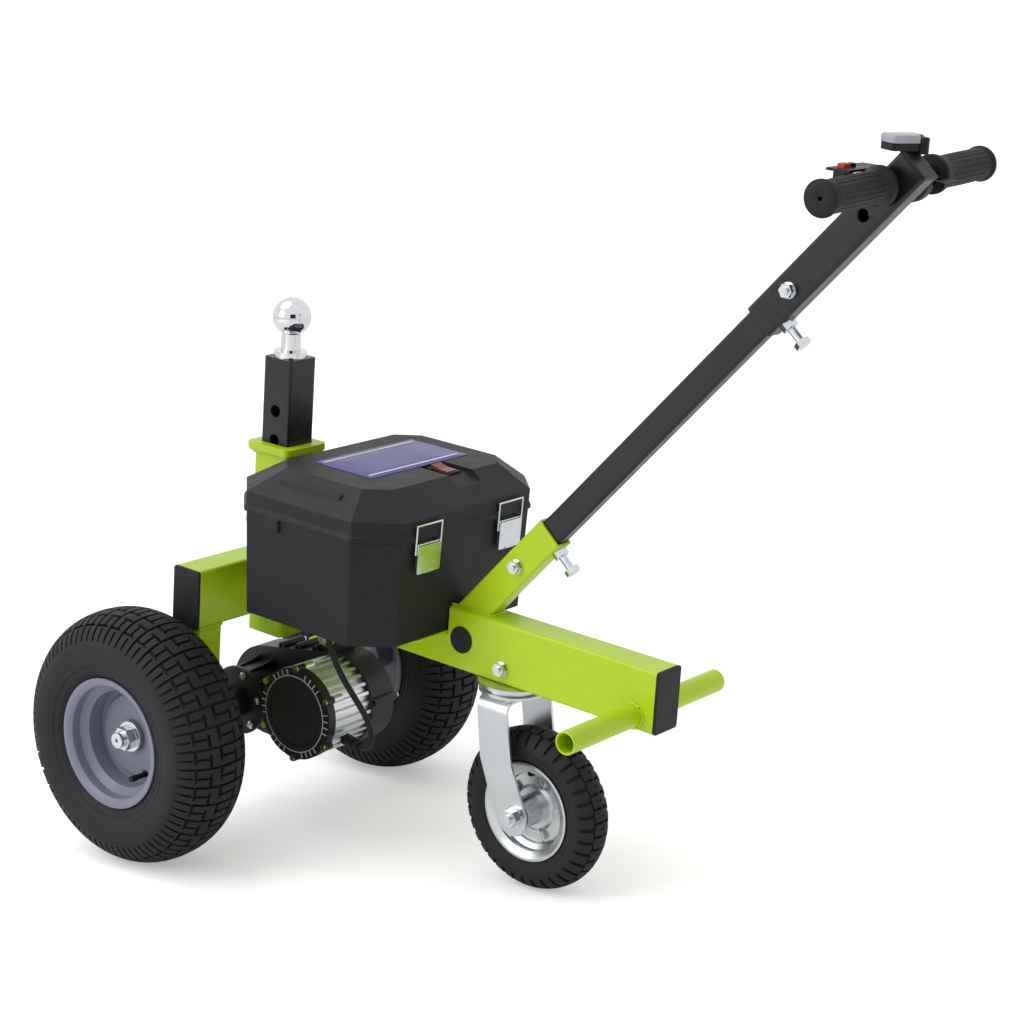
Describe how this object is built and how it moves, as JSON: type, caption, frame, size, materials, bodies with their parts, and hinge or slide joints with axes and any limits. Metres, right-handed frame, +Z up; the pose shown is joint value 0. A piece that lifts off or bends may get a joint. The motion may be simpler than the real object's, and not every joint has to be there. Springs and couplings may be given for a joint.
{
  "type": "electric trailer dolly",
  "caption": "Battery-driven trailer dolly with two drive wheels, a swivelling caster, a height-adjustable tow ball and a long handle with a thumb throttle.",
  "frame": {"origin": "centre of the bounding box's base, on the ground under the dolly", "axes": "+X towards the handle, +Y across along the drive axle, +Z up"},
  "size_m": [1.1616, 0.58, 0.9515],
  "materials": {
    "frame_paint": "gloss",
    "black_paint": "satin",
    "zinc": "satin",
    "tyre": "matte",
    "rim_paint": "satin",
    "steel": "satin",
    "cast": "satin",
    "chrome": "polished",
    "brass": "satin",
    "black_plastic": "matte",
    "grip_rubber": "matte",
    "silver_plastic": "satin",
    "red_plastic": "gloss",
    "magnet": "matte",
    "battery": "matte"
  },
  "bodies": {
    "frame": {"spine_tube": "frame_paint", "cross_beam": "frame_paint", "axle_legs": "frame_paint", "receiver_tube": "frame_paint", "foot_bar": "frame_paint", "handle_socket": "frame_paint", "end_caps": "black_plastic", "hole_plugs": "black_plastic", "battery_tray": "frame_paint", "motor_bracket": "frame_paint", "frame_bolts": "zinc", "gear_case": "black_paint", "gear_case_cover": "black_paint", "case_bolts": "zinc", "axle_tubes": "black_paint", "bearings": "steel", "motor_body": "cast", "motor_end_cap": "black_paint", "motor_screws": "brass", "motor_magnets": "magnet", "motor_lead": "grip_rubber", "lead_boots": "grip_rubber", "battery_box": "black_plastic", "batteries": "battery", "motor_controller": "black_paint", "latch_bases": "zinc", "handle_lower_tube": "black_paint", "handle_upper_tube": "black_paint", "handlebar": "black_paint", "grips": "grip_rubber", "control_housing": "black_plastic", "control_cover": "silver_plastic", "throttle_housing": "black_plastic", "switch_plate": "black_plastic", "caster_plate": "zinc"},
    "left_wheel": {"left_tyre": "tyre", "left_rim": "rim_paint", "left_half_shaft": "zinc"},
    "right_wheel": {"right_tyre": "tyre", "right_rim": "rim_paint", "right_half_shaft": "zinc"},
    "differential": {"output_gear": "steel"},
    "idler": {"idler_gear": "steel"},
    "motor_rotor": {"rotor": "steel"},
    "post": {"ball_post": "black_paint", "tow_ball": "chrome"},
    "lid": {"box_lid": "black_plastic", "switch_bezel": "black_plastic"},
    "rocker": {"power_rocker": "red_plastic"},
    "left_lever": {"left_latch_lever": "zinc"},
    "right_lever": {"right_latch_lever": "zinc"},
    "left_bail": {"left_latch_bail": "zinc"},
    "right_bail": {"right_latch_bail": "zinc"},
    "throttle": {"throttle_lever": "black_plastic"},
    "button": {"stop_button": "red_plastic"},
    "fork": {"caster_fork": "zinc", "caster_axle": "zinc"},
    "caster_wheel": {"caster_tyre": "tyre", "caster_rim": "zinc"}
  },
  "joints": [
    {"name": "left_wheel_spin", "type": "hinge", "parent": "frame", "child": "left_wheel", "pos_m": [-0.41585, -0.2325, 0.165], "axis": [0, 1, 0], "continuous": true},
    {"name": "right_wheel_spin", "type": "hinge", "parent": "frame", "child": "right_wheel", "pos_m": [-0.41585, 0.2325, 0.165], "axis": [0, 1, 0], "continuous": true},
    {"name": "gear_spin", "type": "hinge", "parent": "frame", "child": "differential", "pos_m": [-0.41585, 0.016, 0.165], "axis": [0, 1, 0], "continuous": true},
    {"name": "idler_spin", "type": "hinge", "parent": "frame", "child": "idler", "pos_m": [-0.34817, 0.016, 0.17164], "axis": [0, 1, 0], "continuous": true},
    {"name": "rotor_spin", "type": "hinge", "parent": "frame", "child": "motor_rotor", "pos_m": [-0.28448, 0, 0.17789], "axis": [0, 1, 0], "continuous": true},
    {"name": "caster_swivel", "type": "hinge", "parent": "frame", "child": "fork", "pos_m": [0.0147, 0, 0.25937], "axis": [0.0923, 0, 0.9957], "continuous": true},
    {"name": "caster_wheel_spin", "type": "hinge", "parent": "fork", "child": "caster_wheel", "pos_m": [0.05103, 0, 0.103], "axis": [0, 1, 0], "continuous": true},
    {"name": "post_height", "type": "slide", "parent": "frame", "child": "post", "axis": [0.0923, 0, 0.9957], "range_m": [-0.08, 0.04]},
    {"name": "lid_lift", "type": "slide", "parent": "frame", "child": "lid", "axis": [0.0923, 0, 0.9957], "range_m": [0, 0.16]},
    {"name": "power_rocker_tilt", "type": "hinge", "parent": "lid", "child": "rocker", "pos_m": [-0.11535, 0.027, 0.50321], "axis": [0, -1, 0], "range_deg": [0, 16]},
    {"name": "left_latch_swing", "type": "hinge", "parent": "frame", "child": "left_lever", "pos_m": [-0.05192, -0.079, 0.43846], "axis": [0, -1, 0], "range_deg": [0, 110]},
    {"name": "right_latch_swing", "type": "hinge", "parent": "frame", "child": "right_lever", "pos_m": [-0.05192, 0.079, 0.43846], "axis": [0, -1, 0], "range_deg": [0, 110]},
    {"name": "left_bail_swing", "type": "hinge", "parent": "left_lever", "child": "left_bail", "pos_m": [-0.05192, -0.079, 0.42838], "axis": [0, -1, 0], "range_deg": [-110, 0]},
    {"name": "right_bail_swing", "type": "hinge", "parent": "right_lever", "child": "right_bail", "pos_m": [-0.05192, 0.079, 0.42838], "axis": [0, -1, 0], "range_deg": [-110, 0]},
    {"name": "throttle_press", "type": "hinge", "parent": "frame", "child": "throttle", "pos_m": [0.53383, 0.05196, 0.89955], "axis": [0.0035, 0.9993, 0.0382], "range_deg": [0, 35], "stiffness_Nm_per_rad": 0.6, "springref_deg": -8.59},
    {"name": "stop_button_press", "type": "slide", "parent": "frame", "child": "button", "axis": [-0.0923, 0, -0.9957], "range_m": [0, 0.002], "stiffness_N_per_m": 400, "springref_m": -0.0005}
  ],
  "couplings": [
    {"joint": "idler_spin", "follows": "gear_spin", "ratio": -3.25},
    {"joint": "rotor_spin", "follows": "gear_spin", "ratio": 11.607},
    {"joint": "left_bail_swing", "follows": "left_latch_swing", "ratio": -1},
    {"joint": "right_bail_swing", "follows": "right_latch_swing", "ratio": -1}
  ]
}
